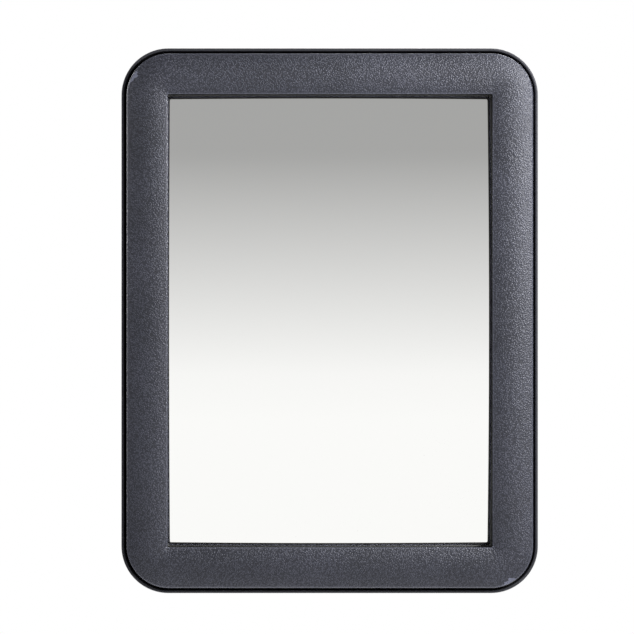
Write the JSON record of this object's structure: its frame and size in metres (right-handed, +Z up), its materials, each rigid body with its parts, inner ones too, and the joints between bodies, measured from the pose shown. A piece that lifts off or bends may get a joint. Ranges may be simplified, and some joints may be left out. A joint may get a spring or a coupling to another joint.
{
  "type": "convex security mirror",
  "caption": "Small upright rectangular convex mirror in a crowned, textured black plastic frame, on a wall bracket that pans and tilts and locks with two knobs.",
  "frame": {"origin": "middle of the wall bracket's back face, on the wall", "axes": "+Z up, +Y into the wall, so the mirror looks along -Y, and +X to the right as the mirror is looked into"},
  "size_m": [0.164, 0.0958, 0.2144],
  "materials": {
    "bezel_plastic": "fine spark-eroded grain, semi-gloss charcoal black",
    "tray_plastic": "fine matt grain with a satin rim",
    "mirror_glass": "polished, silvered behind",
    "gasket_rubber": "matt black",
    "pad_foam": "closed-cell foam",
    "backing_hardboard": "smooth hardboard",
    "bracket_coat": "black powder coat with a light orange peel",
    "zinc_steel": "bright zinc plate",
    "washer_nylon": "natural nylon",
    "knob_plastic": "fine-grained black",
    "insert_brass": "turned"
  },
  "bodies": {
    "wall_mount": {"wall_bracket": "bracket_coat", "pan_bolt": "zinc_steel", "pan_flat_washer": "zinc_steel", "pan_spring_washer": "zinc_steel"},
    "pan_knob_body": {"pan_knob": "knob_plastic", "pan_knob_insert": "insert_brass"},
    "swivel": {"swivel_arm": "bracket_coat", "pan_friction_washer_upper": "washer_nylon", "pan_friction_washer_lower": "washer_nylon", "tilt_friction_washer_left": "washer_nylon", "tilt_friction_washer_right": "washer_nylon"},
    "mirror_head": {"front_bezel": "bezel_plastic", "rear_tray": "tray_plastic", "mirror_pane": "mirror_glass", "pane_gasket": "gasket_rubber", "backing_pad": "pad_foam", "backing_board": "backing_hardboard", "case_screw_1": "zinc_steel", "case_screw_2": "zinc_steel", "case_screw_3": "zinc_steel", "case_screw_4": "zinc_steel", "case_screw_5": "zinc_steel", "case_screw_6": "zinc_steel", "captive_nut_1": "zinc_steel", "captive_nut_2": "zinc_steel", "captive_nut_3": "zinc_steel", "captive_nut_4": "zinc_steel", "bracket_screw_1": "zinc_steel", "bracket_screw_2": "zinc_steel", "bracket_screw_3": "zinc_steel", "bracket_screw_4": "zinc_steel", "head_bracket": "bracket_coat", "tilt_bolt": "zinc_steel", "tilt_flat_washer": "zinc_steel", "tilt_spring_washer": "zinc_steel"},
    "tilt_knob_body": {"tilt_knob": "knob_plastic", "tilt_knob_insert": "insert_brass"}
  },
  "joints": [
    {"name": "pan", "type": "hinge", "parent": "wall_mount", "child": "swivel", "pos_m": [0, -0.018, 0], "axis": [0, 0, 1], "range_deg": [-40, 40]},
    {"name": "tilt", "type": "hinge", "parent": "swivel", "child": "mirror_head", "pos_m": [0, -0.054, 0], "axis": [1, 0, 0], "range_deg": [-30, 30]},
    {"name": "pan_knob_turn", "type": "hinge", "parent": "wall_mount", "child": "pan_knob_body", "pos_m": [0, -0.018, 0], "axis": [0, 0, -1], "range_deg": [0, 360]},
    {"name": "tilt_knob_turn", "type": "hinge", "parent": "mirror_head", "child": "tilt_knob_body", "pos_m": [0, -0.054, 0], "axis": [1, 0, 0], "range_deg": [0, 360]}
  ]
}
